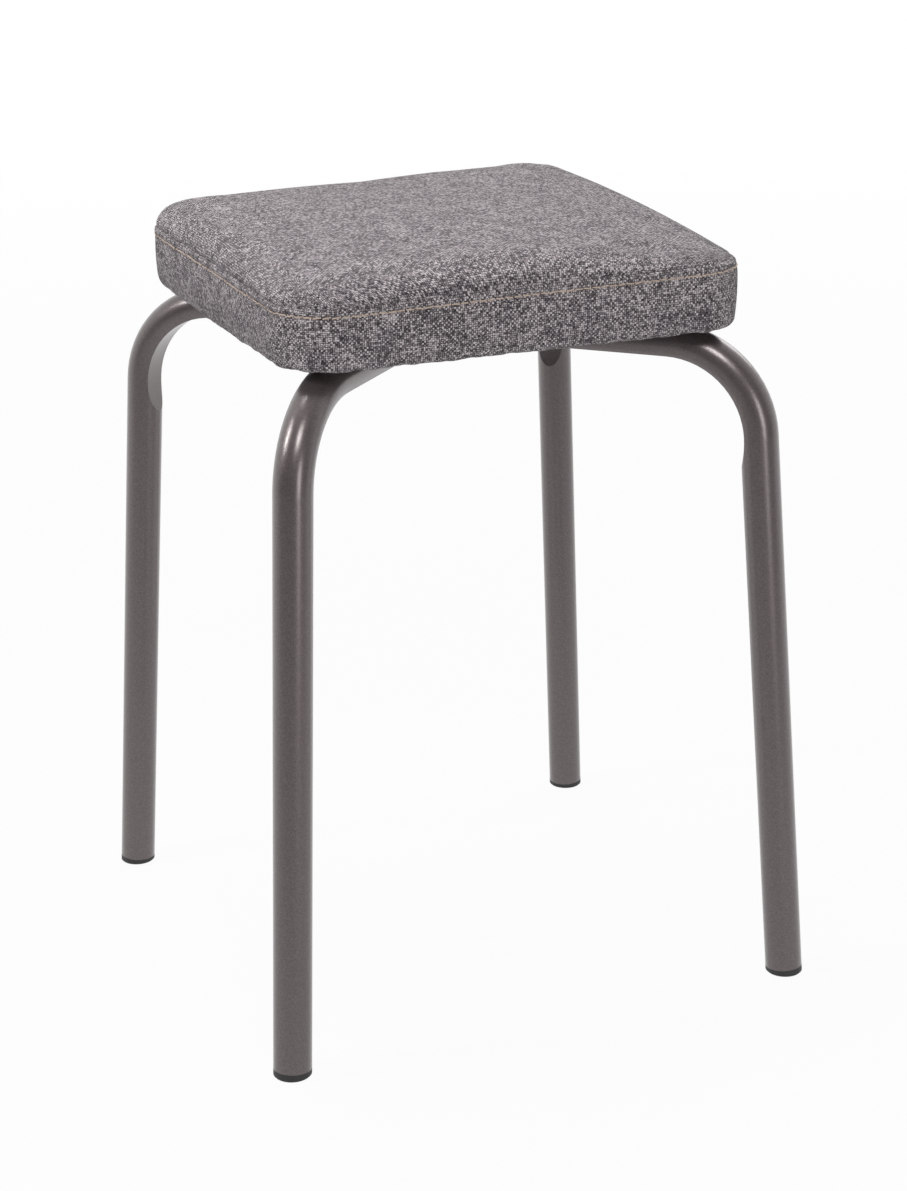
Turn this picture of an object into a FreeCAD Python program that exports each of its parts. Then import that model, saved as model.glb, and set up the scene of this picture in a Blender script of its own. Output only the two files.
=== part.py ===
import FreeCAD, Part
import math
import os
import Sketcher
from FreeCAD import Placement, Rotation, Vector

# Stacking stool: two bent tube hoops that cross under a square upholstered seat.
# Frame: +Z up, the floor at Z 0, the origin midway between the four feet,
# the seat's sides along X and Y, and the front towards -Y.

os.makedirs("parts", exist_ok=True)
doc = FreeCAD.newDocument("stacking_stool")

# Driving dimensions, in millimetres and degrees
DRIVING_SIZES = {
    "tube_diameter": 22.0,
    "tube_wall": 1.2,
    "foot_spacing": 316.0,
    "leg_lean": 4.2,
    "hoop_height": 384.5,
    "bend_radius": 54.0,
    "bend_flat": 4.4,
    "arm_flat_start": 34.0,
    "lap_height": 11.0,
    "lap_width": 28.4,
    "lap_straight": 34.0,
    "lap_length": 80.0,
    "lap_shoulder": 50.0,
    "plug_head": 3.9,
    "plug_spigot": 20.0,
    "plug_rib": 0.2,
    "plug_rib_slope": 1.6,
    "plug_rib_pitch": 7.5,
    "plug_wall": 2.4,
    "plug_chamfer": 0.8,
    "seat_side": 278.0,
    "seat_corner": 34.0,
    "seat_height": 453.0,
    "seat_crown": 6.5,
    "seat_edge": 12.0,
    "seat_under_edge": 4.0,
    "seat_fullest": 0.45,
    "side_draw": 1.8,
    "seam_drop": 18.0,
    "cover_cloth": 1.2,
    "foam_bevel": 1.7,
    "hem_opening": 220.0,
    "board_side": 270.0,
    "board_thickness": 12.0,
    "board_bevel": 2.0,
    "screw_circle": 120.0,
    "screw_shank": 5.9,
    "screw_hole": 7.0,
    "screw_length": 30.0,
    "screw_tip": 1.0,
    "head_diameter": 11.0,
    "head_height": 3.4,
    "head_crown": 6.2,
    "head_shoulder": 9.2,
    "head_shoulder_rise": 2.4,
    "head_rim": 0.9,
    "socket_width": 4.0,
    "socket_depth": 2.0,
    "saddle_diameter": 20.0,
    "saddle_seat": 1.8,
    "saddle_rise": 6.0,
    "washer_diameter": 18.0,
    "washer_thickness": 1.6,
    "nut_flange": 19.0,
    "nut_flange_thickness": 1.4,
    "nut_barrel": 7.8,
    "nut_length": 9.5,
    "nut_bore": 6.1,
    "nut_prong": 5.0,
    "nut_prong_width": 3.0,
    "nut_prong_inset": 0.6,
}

sizes = doc.addObject("Spreadsheet::Sheet", "Sizes")
for row, (alias, number) in enumerate(DRIVING_SIZES.items(), start=1):
    sizes.set("A" + str(row), alias.replace("_", " "))
    sizes.set("B" + str(row), str(number))
    sizes.setAlias("B" + str(row), alias)
doc.recompute()

# Expressions that several pieces share
TUBE_RADIUS = "Sizes.tube_diameter / 2"
BORE_RADIUS = "(Sizes.tube_diameter / 2 - Sizes.tube_wall)"
FOOT_REACH = "(Sizes.foot_spacing / sqrt(2) - Sizes.plug_head * tan(Sizes.leg_lean * 1 deg))"
SEAT_UNDERSIDE = "(Sizes.hoop_height + Sizes.tube_diameter / 2)"
TUBE_UNDERSIDE = "(Sizes.hoop_height - Sizes.tube_diameter / 2)"
ARM_UNDERSIDE = "(" + TUBE_UNDERSIDE + " + Sizes.bend_flat)"
BEND_REACH = (
    "(" + FOOT_REACH + " - (Sizes.hoop_height - Sizes.plug_head) * tan(Sizes.leg_lean * 1 deg)"
    " - Sizes.bend_radius * tan((90 - Sizes.leg_lean) / 2 * 1 deg))"
)
BOARD_BOTTOM = "(" + SEAT_UNDERSIDE + " + Sizes.cover_cloth)"
SEAM_LEVEL = "(Sizes.seat_height - Sizes.seam_drop)"

LEG_BEARINGS = {
    "front_left": 225.0,
    "front_right": 315.0,
    "rear_right": 45.0,
    "rear_left": 135.0,
}

# Two heights nearer than this are one level
SAME_LEVEL = 0.01

finished = []


def worked_out(expression):
    """Give the number that an expression on the sheet comes to."""
    result = sizes.evalExpression(expression)
    return float(getattr(result, "Value", result))


def bind(item, **properties):
    """Bind each property of an object to an expression on the sheet."""
    for name, expression in properties.items():
        item.setExpression(name, expression)
    return item


def lift(item, expression, axis="z"):
    """Bind one coordinate of an object's placement, its height unless told."""
    item.setExpression("Placement.Base." + axis, expression)
    return item


def finish(item, label):
    """Label an object as one of the stool's pieces."""
    item.Label = label
    finished.append(item)
    return item


def origin_plane(body, role):
    for feature in body.Origin.OriginFeatures:
        if feature.Role == role:
            return feature
    raise ValueError("no origin plane " + role)


def attached_sketch(body, name, role, offset=None):
    """Put a sketch on one of a body's own origin planes."""
    sketch = body.newObject("Sketcher::SketchObject", name)
    sketch.AttachmentSupport = [(origin_plane(body, role), "")]
    sketch.MapMode = "FlatFace"
    if offset is not None:
        sketch.setExpression("AttachmentOffset.Base.z", offset)
    return sketch


def locate(sketch, geometry, point, across, up):
    """Hold one point of a sketch at two signed distances from its origin."""
    for kind, expression in (("DistanceX", across), ("DistanceY", up)):
        number = worked_out(expression)
        constraint = Sketcher.Constraint(kind, -1, 1, geometry, point, number)
        index = sketch.addConstraint(constraint)
        sketch.setExpression("Constraints[" + str(index) + "]", expression)


def circle_in(sketch, across, up, radius):
    centre = Vector(worked_out(across), worked_out(up), 0)
    circle = Part.Circle(centre, Vector(0, 0, 1), worked_out(radius))
    geometry = sketch.addGeometry(circle, False)
    locate(sketch, geometry, 3, across, up)
    index = sketch.addConstraint(Sketcher.Constraint("Radius", geometry, worked_out(radius)))
    sketch.setExpression("Constraints[" + str(index) + "]", radius)


def outline_in(sketch, corners):
    """Draw a closed outline of straight lines, each corner held by two expressions."""
    points = [Vector(worked_out(across), worked_out(up), 0) for across, up in corners]
    first = sketch.GeometryCount
    count = len(points)
    for index in range(count):
        line = Part.LineSegment(points[index], points[(index + 1) % count])
        sketch.addGeometry(line, False)
    for index in range(count):
        meeting = Sketcher.Constraint(
            "Coincident", first + index, 2, first + (index + 1) % count, 1
        )
        sketch.addConstraint(meeting)
    for index, (across, up) in enumerate(corners):
        locate(sketch, first + index, 1, across, up)


# Leg hoops
# Each arm of a hoop runs level from the crossing, turns down through one bend past
# the seat's corner and leans outwards to the floor. The bend's inner wall is drawn
# flat, as on a tube bent without a mandrel. The flat runs on along the arm's
# underside to the lap, and fades out down the leg.

def arm_path(body, name):
    """Draw one arm's centre line in the hoop's own plane."""
    sketch = attached_sketch(body, name, "XZ_Plane")
    lean = math.radians(worked_out("Sizes.leg_lean"))
    radius = worked_out("Sizes.bend_radius")
    height = worked_out("Sizes.hoop_height")
    foot = Vector(worked_out(FOOT_REACH), worked_out("Sizes.plug_head"), 0)
    centre = Vector(worked_out(BEND_REACH), height - radius, 0)
    start = Vector(worked_out("Sizes.lap_length / 2"), height, 0)
    bend_top = centre + Vector(0, radius, 0)
    bend_foot = centre + Vector(radius * math.cos(lean), radius * math.sin(lean), 0)
    level_run = sketch.addGeometry(Part.LineSegment(start, bend_top), False)
    circle = Part.Circle(centre, Vector(0, 0, 1), radius)
    bend = sketch.addGeometry(Part.ArcOfCircle(circle, lean, math.pi / 2), False)
    leg = sketch.addGeometry(Part.LineSegment(bend_foot, foot), False)
    sketch.addConstraint(Sketcher.Constraint("Horizontal", level_run))
    sketch.addConstraint(Sketcher.Constraint("Tangent", level_run, 2, bend, 2))
    sketch.addConstraint(Sketcher.Constraint("Tangent", bend, 1, leg, 1))
    locate(sketch, level_run, 1, "Sizes.lap_length / 2", "Sizes.hoop_height")
    locate(sketch, leg, 2, FOOT_REACH, "Sizes.plug_head")
    turn = sketch.addConstraint(Sketcher.Constraint("Radius", bend, radius))
    sketch.setExpression("Constraints[" + str(turn) + "]", "Sizes.bend_radius")
    slope = sketch.addConstraint(Sketcher.Constraint("Angle", leg, lean - math.pi / 2))
    sketch.setExpression("Constraints[" + str(slope) + "]", "(Sizes.leg_lean - 90) * 1 deg")
    return sketch


def arm_form(name, section_radius, flat_radius):
    """Sweep a round section along one arm and flatten the inside of its bend."""
    body = doc.addObject("PartDesign::Body", name)
    path = arm_path(body, name + "_path")
    section = attached_sketch(body, name + "_section", "YZ_Plane", "Sizes.lap_length / 2")
    circle_in(section, "0", "Sizes.hoop_height", section_radius)
    doc.recompute()
    tube = body.newObject("PartDesign::AdditivePipe", name + "_tube")
    tube.Profile = section
    tube.Spine = (path, [])
    doc.recompute()
    round_volume = tube.Shape.Volume
    flat = attached_sketch(body, name + "_flat", "XZ_Plane")
    circle_in(flat, BEND_REACH, "Sizes.hoop_height - Sizes.bend_radius", flat_radius)
    pressed = body.newObject("PartDesign::Pocket", name + "_pressed")
    pressed.Profile = flat
    pressed.Midplane = True
    bind(pressed, Length="Sizes.tube_diameter * 2")
    doc.recompute()
    if pressed.Shape.Volume >= round_volume:
        raise RuntimeError(name + ": the bend's flat cuts nothing")
    return body


def arm_pair(name, section_radius, flat_radius):
    arm = arm_form(name, section_radius, flat_radius)
    other = doc.addObject("Part::Mirroring", name + "_opposite")
    other.Source = arm
    other.Base = Vector(0, 0, 0)
    other.Normal = Vector(1, 0, 0)
    return [arm, other]


def section_wire(reach, level, half_flat, half_height):
    """Draw a tube section in six edges: one above, one below and two at each side.

    Between its round sides the section is flat for half_flat either way; where
    half_flat is 0 it is a circle, divided at the lap's shoulders.
    """
    shoulder = 90.0 if half_flat > 0 else worked_out("Sizes.lap_shoulder")
    turns = [180 - shoulder, shoulder, 0, -shoulder, shoulder - 180, -180, -180 - shoulder]
    shifts = [side * half_flat for side in (-1, 1, 1, 1, -1, -1, -1)]

    def section_point(angle, shift):
        turned = math.radians(angle)
        across = shift + half_height * math.cos(turned)
        return Vector(reach, across, level + half_height * math.sin(turned))

    edges = []
    for index in range(6):
        angle, following = turns[index], turns[index + 1]
        begin = section_point(angle, shifts[index])
        end = section_point(following, shifts[index + 1])
        if angle == following:
            edges.append(Part.LineSegment(begin, end).toShape())
        else:
            middle = section_point((angle + following) / 2, shifts[index + 1])
            edges.append(Part.Arc(begin, middle, end).toShape())
    return Part.Wire(edges)


def lap_form(name, side, inset):
    """Loft the hoop's middle, pressed to half its height where the other hoop crosses.

    side is 1 where the lap keeps the tube's upper half and -1 for the lower half.
    """
    height = worked_out("Sizes.hoop_height")
    radius = worked_out(TUBE_RADIUS) - inset
    lap_half = worked_out("Sizes.lap_height") / 2
    half_flat = worked_out("Sizes.lap_width") / 2 - lap_half
    level = height + side * lap_half
    near = worked_out("Sizes.lap_straight") / 2
    far = worked_out("Sizes.lap_length") / 2
    wires = [
        section_wire(-far, height, 0, radius),
        section_wire(-near, level, half_flat, lap_half - inset),
        section_wire(near, level, half_flat, lap_half - inset),
        section_wire(far, height, 0, radius),
    ]
    lap = doc.addObject("Part::Feature", name)
    lap.Shape = Part.makeLoft(wires, True, True)
    return lap


def screw_hole(name, bearing=None):
    """Make a drill on the screw circle at a bearing, or at its middle without one."""
    drill = doc.addObject("Part::Cylinder", name)
    bind(drill, Radius="Sizes.screw_hole / 2", Height="Sizes.tube_diameter * 2")
    if bearing is not None:
        angle = "(" + str(bearing) + " deg)"
        lift(drill, "Sizes.screw_circle / 2 * cos" + angle, "x")
        lift(drill, "Sizes.screw_circle / 2 * sin" + angle, "y")
    return lift(drill, "Sizes.hoop_height - Sizes.tube_diameter")


def arm_flats(name, grown):
    """Make the two blocks that press the arms' undersides flat, grown by a wall or 0."""
    blocks = []
    for bearing in (0.0, 180.0):
        item = doc.addObject("Part::Box", name + "_" + str(int(bearing)))
        start = "(Sizes.arm_flat_start - " + grown + ")"
        bind(item, Length=BEND_REACH + " - " + start, Width="Sizes.tube_diameter * 2")
        bind(item, Height="Sizes.tube_diameter + " + grown)
        turn = Rotation(Vector(0, 0, 1), bearing)
        item.Placement = Placement(Vector(0, 0, 0), turn)
        toward = "" if bearing == 0.0 else "-"
        lift(item, toward + start, "x")
        lift(item, toward + "(-Sizes.tube_diameter)", "y")
        blocks.append(lift(item, ARM_UNDERSIDE + " - Sizes.tube_diameter"))
    return blocks


def pressed_tube(name, arms, lap, grown):
    """Join two arms and a lap, and press the arms' undersides flat."""
    whole = doc.addObject("Part::MultiFuse", name + "_round")
    whole.Shapes = arms + [lap]
    flats = doc.addObject("Part::MultiFuse", name + "_flats")
    flats.Shapes = arm_flats(name + "_flat", grown)
    pressed = doc.addObject("Part::Cut", name)
    pressed.Base = whole
    pressed.Tool = flats
    return pressed


def leg_hoop(label, side, bearing, solid_arms, bore_arms):
    """Join two arms and their pressed lap, hollow them and drill them."""
    lap = lap_form(label + "_lap", side, 0.0)
    lap_bore = lap_form(label + "_lap_bore", side, worked_out("Sizes.tube_wall"))
    outside = pressed_tube(label + "_outside", solid_arms, lap, "0")
    inside = pressed_tube(label + "_inside", bore_arms, lap_bore, "Sizes.tube_wall")
    drills = doc.addObject("Part::MultiFuse", label + "_drills")
    drills.Shapes = [
        screw_hole(label + "_hole_left", 180.0),
        screw_hole(label + "_hole_middle"),
        screw_hole(label + "_hole_right", 0.0),
    ]
    tube = doc.addObject("Part::Cut", label + "_tube")
    tube.Base = outside
    tube.Tool = inside
    hoop = doc.addObject("Part::Cut", label)
    hoop.Base = tube
    hoop.Tool = drills
    hoop.Placement = Placement(Vector(0, 0, 0), Rotation(Vector(0, 0, 1), bearing))
    return finish(hoop, label)


flat_radius = "Sizes.bend_radius - Sizes.tube_diameter / 2 + Sizes.bend_flat"
solid_arms = arm_pair("arm", TUBE_RADIUS, flat_radius)
bore_arms = arm_pair("arm_bore", BORE_RADIUS, flat_radius + " + Sizes.tube_wall")
leg_hoop("upper_leg_hoop", 1, 45.0, solid_arms, bore_arms)
leg_hoop("lower_leg_hoop", -1, -45.0, solid_arms, bore_arms)


# Foot plugs
# A moulded cup pressed into each tube end. Its head is a wedge, because the tube is
# cut square and leans, and the floor cuts the head level.

def foot_plug(corner, bearing):
    label = "foot_plug_" + corner
    body = doc.addObject("PartDesign::Body", label)
    profile = attached_sketch(body, label + "_profile", "XZ_Plane")
    spigot = "(" + BORE_RADIUS + " - Sizes.plug_rib)"
    core = "(" + BORE_RADIUS + " - Sizes.plug_wall)"
    corners = [
        ("0", "-3 * Sizes.plug_head"),
        (TUBE_RADIUS, "-3 * Sizes.plug_head"),
        (TUBE_RADIUS, "0"),
        (spigot, "0"),
    ]
    for rib in (1, 2):
        level = "Sizes.plug_rib_pitch * " + str(rib)
        corners += [
            (BORE_RADIUS, level),
            (spigot, level + " + Sizes.plug_rib_slope"),
        ]
    corners += [
        (spigot, "Sizes.plug_spigot"),
        (core, "Sizes.plug_spigot"),
        (core, "Sizes.plug_wall"),
        ("0", "Sizes.plug_wall"),
    ]
    outline_in(profile, corners)
    doc.recompute()
    turned = body.newObject("PartDesign::Revolution", label + "_turned")
    turned.Profile = profile
    turned.ReferenceAxis = (profile, ["V_Axis"])
    turned.Angle = 360.0
    doc.recompute()
    full_volume = turned.Shape.Volume
    below = attached_sketch(body, label + "_below_floor", "XZ_Plane")
    drop = "(-Sizes.plug_head / cos(Sizes.leg_lean * 1 deg)"
    rise = "Sizes.tube_diameter * tan(Sizes.leg_lean * 1 deg))"
    outline_in(below, [
        ("-Sizes.tube_diameter", drop + " + " + rise),
        ("-Sizes.tube_diameter", "-4 * Sizes.plug_head"),
        ("Sizes.tube_diameter", "-4 * Sizes.plug_head"),
        ("Sizes.tube_diameter", drop + " - " + rise),
    ])
    level_cut = body.newObject("PartDesign::Pocket", label + "_level_cut")
    level_cut.Profile = below
    level_cut.Midplane = True
    bind(level_cut, Length="Sizes.tube_diameter * 2")
    doc.recompute()
    if level_cut.Shape.Volume >= full_volume:
        raise RuntimeError(label + ": the floor cuts nothing")
    lowest = min(
        range(len(level_cut.Shape.Faces)),
        key=lambda index: level_cut.Shape.Faces[index].CenterOfMass.z,
    )
    rim = []
    for edge in level_cut.Shape.Faces[lowest].Edges:
        for index, candidate in enumerate(level_cut.Shape.Edges, start=1):
            if candidate.isSame(edge):
                rim.append("Edge" + str(index))
    chamfer = body.newObject("PartDesign::Chamfer", label + "_chamfer")
    chamfer.Base = (level_cut, rim)
    bind(chamfer, Size="Sizes.plug_chamfer")
    doc.recompute()
    lean = Rotation(Vector(0, 1, 0), -worked_out("Sizes.leg_lean"))
    turn = Rotation(Vector(0, 0, 1), bearing)
    reach = turn.multVec(Vector(worked_out(FOOT_REACH), 0, worked_out("Sizes.plug_head")))
    body.Placement = Placement(reach, turn.multiply(lean))
    return finish(body, label)


for corner, bearing in LEG_BEARINGS.items():
    foot_plug(corner, bearing)


# Seat fasteners
# Four screws pass up through the hoops' arms and one through the crossing, each into
# a tee nut let into the board's top. Saddles fit the pressed tube under four heads.

def screw(label, reach, bearing, head_seat):
    """Turn a button head and shank, and sink its hexagon socket."""
    body = doc.addObject("PartDesign::Body", label)
    profile = attached_sketch(body, label + "_profile", "XZ_Plane")
    outline_in(profile, [
        ("0", "-Sizes.head_height"),
        ("Sizes.head_crown / 2", "-Sizes.head_height"),
        ("Sizes.head_shoulder / 2", "-Sizes.head_shoulder_rise"),
        ("Sizes.head_diameter / 2", "-Sizes.head_rim"),
        ("Sizes.head_diameter / 2", "0"),
        ("Sizes.screw_shank / 2", "0"),
        ("Sizes.screw_shank / 2", "Sizes.screw_length - Sizes.screw_tip"),
        ("Sizes.screw_shank / 2 - Sizes.screw_tip", "Sizes.screw_length"),
        ("0", "Sizes.screw_length"),
    ])
    doc.recompute()
    turned = body.newObject("PartDesign::Revolution", label + "_turned")
    turned.Profile = profile
    turned.ReferenceAxis = (profile, ["V_Axis"])
    turned.Angle = 360.0
    doc.recompute()
    full_volume = turned.Shape.Volume
    hexagon = attached_sketch(body, label + "_hexagon", "XY_Plane", "-Sizes.head_height")
    corners = []
    for step in range(6):
        angle = str(60 * step) + " deg)"
        across = "Sizes.socket_width / sqrt(3) * cos(" + angle
        up = "Sizes.socket_width / sqrt(3) * sin(" + angle
        corners.append((across, up))
    outline_in(hexagon, corners)
    socket = body.newObject("PartDesign::Pocket", label + "_socket")
    socket.Profile = hexagon
    socket.Reversed = True
    bind(socket, Length="Sizes.socket_depth")
    doc.recompute()
    if socket.Shape.Volume >= full_volume:
        raise RuntimeError(label + ": the socket cuts nothing")
    turn = Rotation(Vector(0, 0, 1), bearing)
    place = turn.multVec(Vector(reach, 0, head_seat))
    body.Placement = Placement(place, turn)
    return finish(body, label)


def saddle(corner, bearing):
    """Cut the pressed tube's section out of a disc, and drill it for the screw."""
    label = "saddle_" + corner
    disc = doc.addObject("Part::Cylinder", label + "_disc")
    bind(disc, Radius="Sizes.saddle_diameter / 2", Height="Sizes.saddle_rise")
    disc.setExpression("Placement.Base.x", "Sizes.screw_circle / 2")
    lift(disc, ARM_UNDERSIDE + " - Sizes.saddle_seat")
    tube = doc.addObject("Part::Cylinder", label + "_tube")
    bind(tube, Radius=TUBE_RADIUS, Height="Sizes.screw_circle")
    tube.Placement = Placement(Vector(0, 0, 0), Rotation(Vector(0, 1, 0), 90))
    lift(tube, "Sizes.hoop_height")
    flats = doc.addObject("Part::MultiFuse", label + "_flats")
    flats.Shapes = arm_flats(label + "_flat", "0")
    section = doc.addObject("Part::Cut", label + "_section")
    section.Base = tube
    section.Tool = flats
    drill = screw_hole(label + "_drill", 0.0)
    tools = doc.addObject("Part::MultiFuse", label + "_tools")
    tools.Shapes = [section, drill]
    piece = doc.addObject("Part::Cut", label)
    piece.Base = disc
    piece.Tool = tools
    piece.Placement = Placement(Vector(0, 0, 0), Rotation(Vector(0, 0, 1), bearing))
    return finish(piece, label)


def tee_nut(label, reach, bearing):
    """Join a flange, a barrel and three prongs, and bore the barrel."""
    board_top = BOARD_BOTTOM + " + Sizes.board_thickness"
    flange = doc.addObject("Part::Cylinder", label + "_flange")
    bind(flange, Radius="Sizes.nut_flange / 2", Height="Sizes.nut_flange_thickness")
    lift(flange, board_top + " - Sizes.nut_flange_thickness")
    barrel = doc.addObject("Part::Cylinder", label + "_barrel")
    bind(barrel, Radius="Sizes.nut_barrel / 2", Height="Sizes.nut_length")
    lift(barrel, board_top + " - Sizes.nut_length")
    inner_edge = worked_out(
        "Sizes.nut_flange / 2 - Sizes.nut_flange_thickness - Sizes.nut_prong_inset"
    )
    prong_corner = Vector(inner_edge, worked_out("-Sizes.nut_prong_width / 2"), 0)
    prongs = []
    for step in range(3):
        prong = doc.addObject("Part::Box", label + "_prong_" + str(step + 1))
        bind(prong, Length="Sizes.nut_flange_thickness", Height="Sizes.nut_prong")
        bind(prong, Width="Sizes.nut_prong_width")
        turn = Rotation(Vector(0, 0, 1), 120.0 * step)
        prong.Placement = Placement(turn.multVec(prong_corner), turn)
        lift(prong, board_top + " - Sizes.nut_prong - Sizes.nut_flange_thickness / 2")
        prongs.append(prong)
    whole = doc.addObject("Part::MultiFuse", label + "_whole")
    whole.Shapes = [flange, barrel] + prongs
    turn = Rotation(Vector(0, 0, 1), bearing)
    whole.Placement = Placement(turn.multVec(Vector(reach, 0, 0)), turn)
    bore = doc.addObject("Part::Cylinder", label + "_bore")
    bind(bore, Radius="Sizes.nut_bore / 2", Height="Sizes.board_thickness * 2")
    bore.Placement = Placement(turn.multVec(Vector(reach, 0, 0)), turn)
    lift(bore, BOARD_BOTTOM + " - Sizes.board_thickness / 2")
    nut = doc.addObject("Part::Cut", label)
    nut.Base = whole
    nut.Tool = bore
    finish(nut, label)
    return whole


def plain_washer(label):
    disc = doc.addObject("Part::Cylinder", label + "_disc")
    bind(disc, Radius="Sizes.washer_diameter / 2", Height="Sizes.washer_thickness")
    lift(disc, TUBE_UNDERSIDE + " - Sizes.washer_thickness")
    piece = doc.addObject("Part::Cut", label)
    piece.Base = disc
    piece.Tool = screw_hole(label + "_hole")
    return finish(piece, label)


screw_reach = worked_out("Sizes.screw_circle / 2")
arm_head_seat = worked_out(ARM_UNDERSIDE + " - Sizes.saddle_seat")
middle_head_seat = worked_out(TUBE_UNDERSIDE + " - Sizes.washer_thickness")
nut_recesses = []
for corner, bearing in LEG_BEARINGS.items():
    screw("seat_screw_" + corner, screw_reach, bearing, arm_head_seat)
    saddle(corner, bearing)
    nut_recesses.append(tee_nut("tee_nut_" + corner, screw_reach, bearing))
screw("crossing_screw", 0.0, 0.0, middle_head_seat)
plain_washer("crossing_washer")
nut_recesses.append(tee_nut("tee_nut_middle", 0.0, 0.0))


# Seat board
# Plywood, with round corners, a bevelled lower edge and the tee nuts let in flush.

def square_corners(side):
    half = side + " / 2"
    return [("-" + half, "-" + half), (half, "-" + half), (half, half), ("-" + half, half)]


def edges_where(shape, wanted):
    names = []
    for index, edge in enumerate(shape.Edges, start=1):
        if wanted(edge):
            names.append("Edge" + str(index))
    return names


def is_upright(edge):
    direction = edge.tangentAt(edge.FirstParameter)
    return abs(direction.z) > 0.99


blank = doc.addObject("PartDesign::Body", "board_blank")
board_plan = attached_sketch(blank, "board_plan", "XY_Plane", BOARD_BOTTOM)
outline_in(board_plan, square_corners("Sizes.board_side"))
board_pad = blank.newObject("PartDesign::Pad", "board_pad")
board_pad.Profile = board_plan
bind(board_pad, Length="Sizes.board_thickness")
doc.recompute()
board_corners = blank.newObject("PartDesign::Fillet", "board_corners")
board_corners.Base = (board_pad, edges_where(board_pad.Shape, is_upright))
bind(board_corners, Radius="Sizes.seat_corner - Sizes.seat_under_edge")
doc.recompute()
board_bottom = worked_out(BOARD_BOTTOM)
lower_edges = edges_where(
    board_corners.Shape,
    lambda edge: abs(edge.BoundBox.ZMax - board_bottom) < SAME_LEVEL,
)
board_bevel = blank.newObject("PartDesign::Chamfer", "board_bevel")
board_bevel.Base = (board_corners, lower_edges)
bind(board_bevel, Size="Sizes.board_bevel")
doc.recompute()

recesses = doc.addObject("Part::MultiFuse", "board_recesses")
screw_drills = [screw_hole("board_hole_middle")]
for corner, bearing in LEG_BEARINGS.items():
    screw_drills.append(screw_hole("board_hole_" + corner, bearing))
recesses.Shapes = nut_recesses + screw_drills
board = doc.addObject("Part::Cut", "seat_board")
board.Base = blank
board.Tool = recesses
finish(board, "seat_board")


# Upholstery
# One crowned cushion form gives every soft piece: its sides draw in above and below
# their fullest line, its top edge is round and its top rises to the middle.

def rounded_square(half, corner, level):
    """Draw a square with round corners as four lines and four quarter arcs."""
    edges = []
    straight = half - corner
    diagonal = corner * math.sqrt(0.5)
    for quarter in range(4):
        turn = Rotation(Vector(0, 0, 1), 90.0 * quarter)
        line_start = Vector(half, -straight, level)
        line_end = Vector(half, straight, level)
        arc_middle = Vector(straight + diagonal, straight + diagonal, level)
        arc_end = Vector(straight, half, level)
        line = Part.LineSegment(turn.multVec(line_start), turn.multVec(line_end))
        arc = Part.Arc(
            turn.multVec(line_end), turn.multVec(arc_middle), turn.multVec(arc_end)
        )
        edges += [line.toShape(), arc.toShape()]
    return Part.Wire(edges)


def cushion_form(name, inset):
    """Loft the cushion's sides, crown its top and round its edges.

    The form inside the cloth has the same shape, with its lower edge bevelled.
    """
    half = worked_out("Sizes.seat_side") / 2 - inset
    corner = worked_out("Sizes.seat_corner") - inset
    draw = worked_out("Sizes.side_draw")
    bottom = worked_out(SEAT_UNDERSIDE) + inset
    top = worked_out("Sizes.seat_height") - inset
    crown = worked_out("Sizes.seat_crown")
    fullest = bottom + (top - bottom) * worked_out("Sizes.seat_fullest")
    above = top + 2 * crown
    wires = [
        rounded_square(half - draw, corner - draw, bottom),
        rounded_square(half, corner, fullest),
        rounded_square(half - draw, corner - draw, above),
    ]
    sides = Part.makeLoft(wires, True, True)
    crown_radius = (half ** 2 + crown ** 2) / (2 * crown)
    ball = Part.makeSphere(crown_radius, Vector(0, 0, top - crown_radius))
    crowned = sides.common(ball)
    top_edge = worked_out("Sizes.seat_edge") - inset
    upper = [edge for edge in crowned.Edges if edge.BoundBox.ZMin > top - 3 * crown]
    rounded = crowned.makeFillet(top_edge, upper)
    lower = [edge for edge in rounded.Edges if edge.BoundBox.ZMax < bottom + SAME_LEVEL]
    form = doc.addObject("Part::Feature", name)
    if inset > 0:
        form.Shape = rounded.makeChamfer(worked_out("Sizes.foam_bevel"), lower)
    else:
        form.Shape = rounded.makeFillet(worked_out("Sizes.seat_under_edge"), lower)
    return form


def block(name, bottom, height):
    """Make a block wider than the seat, to part the cushion's pieces at a level."""
    item = doc.addObject("Part::Box", name)
    bind(item, Length="Sizes.seat_side * 2", Width="Sizes.seat_side * 2", Height=height)
    item.setExpression("Placement.Base.x", "-Sizes.seat_side")
    item.setExpression("Placement.Base.y", "-Sizes.seat_side")
    return lift(item, bottom)


def joined(kind, label, base, tool):
    item = doc.addObject("Part::" + kind, label)
    item.Base = base
    item.Tool = tool
    return item


outer_form = cushion_form("cushion_outside", 0.0)
inner_form = cushion_form("cushion_inside", worked_out("Sizes.cover_cloth"))
above_seam = block("above_seam", SEAM_LEVEL, "Sizes.seat_side")
opening_plan = doc.addObject("Part::Box", "hem_opening_block")
bind(opening_plan, Length="Sizes.hem_opening", Width="Sizes.hem_opening", Height="Sizes.cover_cloth")
opening_plan.setExpression("Placement.Base.x", "-Sizes.hem_opening / 2")
opening_plan.setExpression("Placement.Base.y", "-Sizes.hem_opening / 2")
lift(opening_plan, SEAT_UNDERSIDE)
skin = joined("Cut", "cover_skin", outer_form, inner_form)
finish(joined("Common", "cover_top_panel", skin, above_seam), "cover_top_panel")
below_seam = joined("Cut", "cover_below_seam", skin, above_seam)
finish(joined("Cut", "cover_side_band", below_seam, opening_plan), "cover_side_band")
finish(joined("Cut", "foam_pad", inner_form, blank), "foam_pad")

lining_drills = doc.addObject("Part::MultiFuse", "lining_drills")
lining_drills.Shapes = screw_drills
finish(joined("Cut", "underside_lining", opening_plan, lining_drills), "underside_lining")

doc.recompute()

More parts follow.
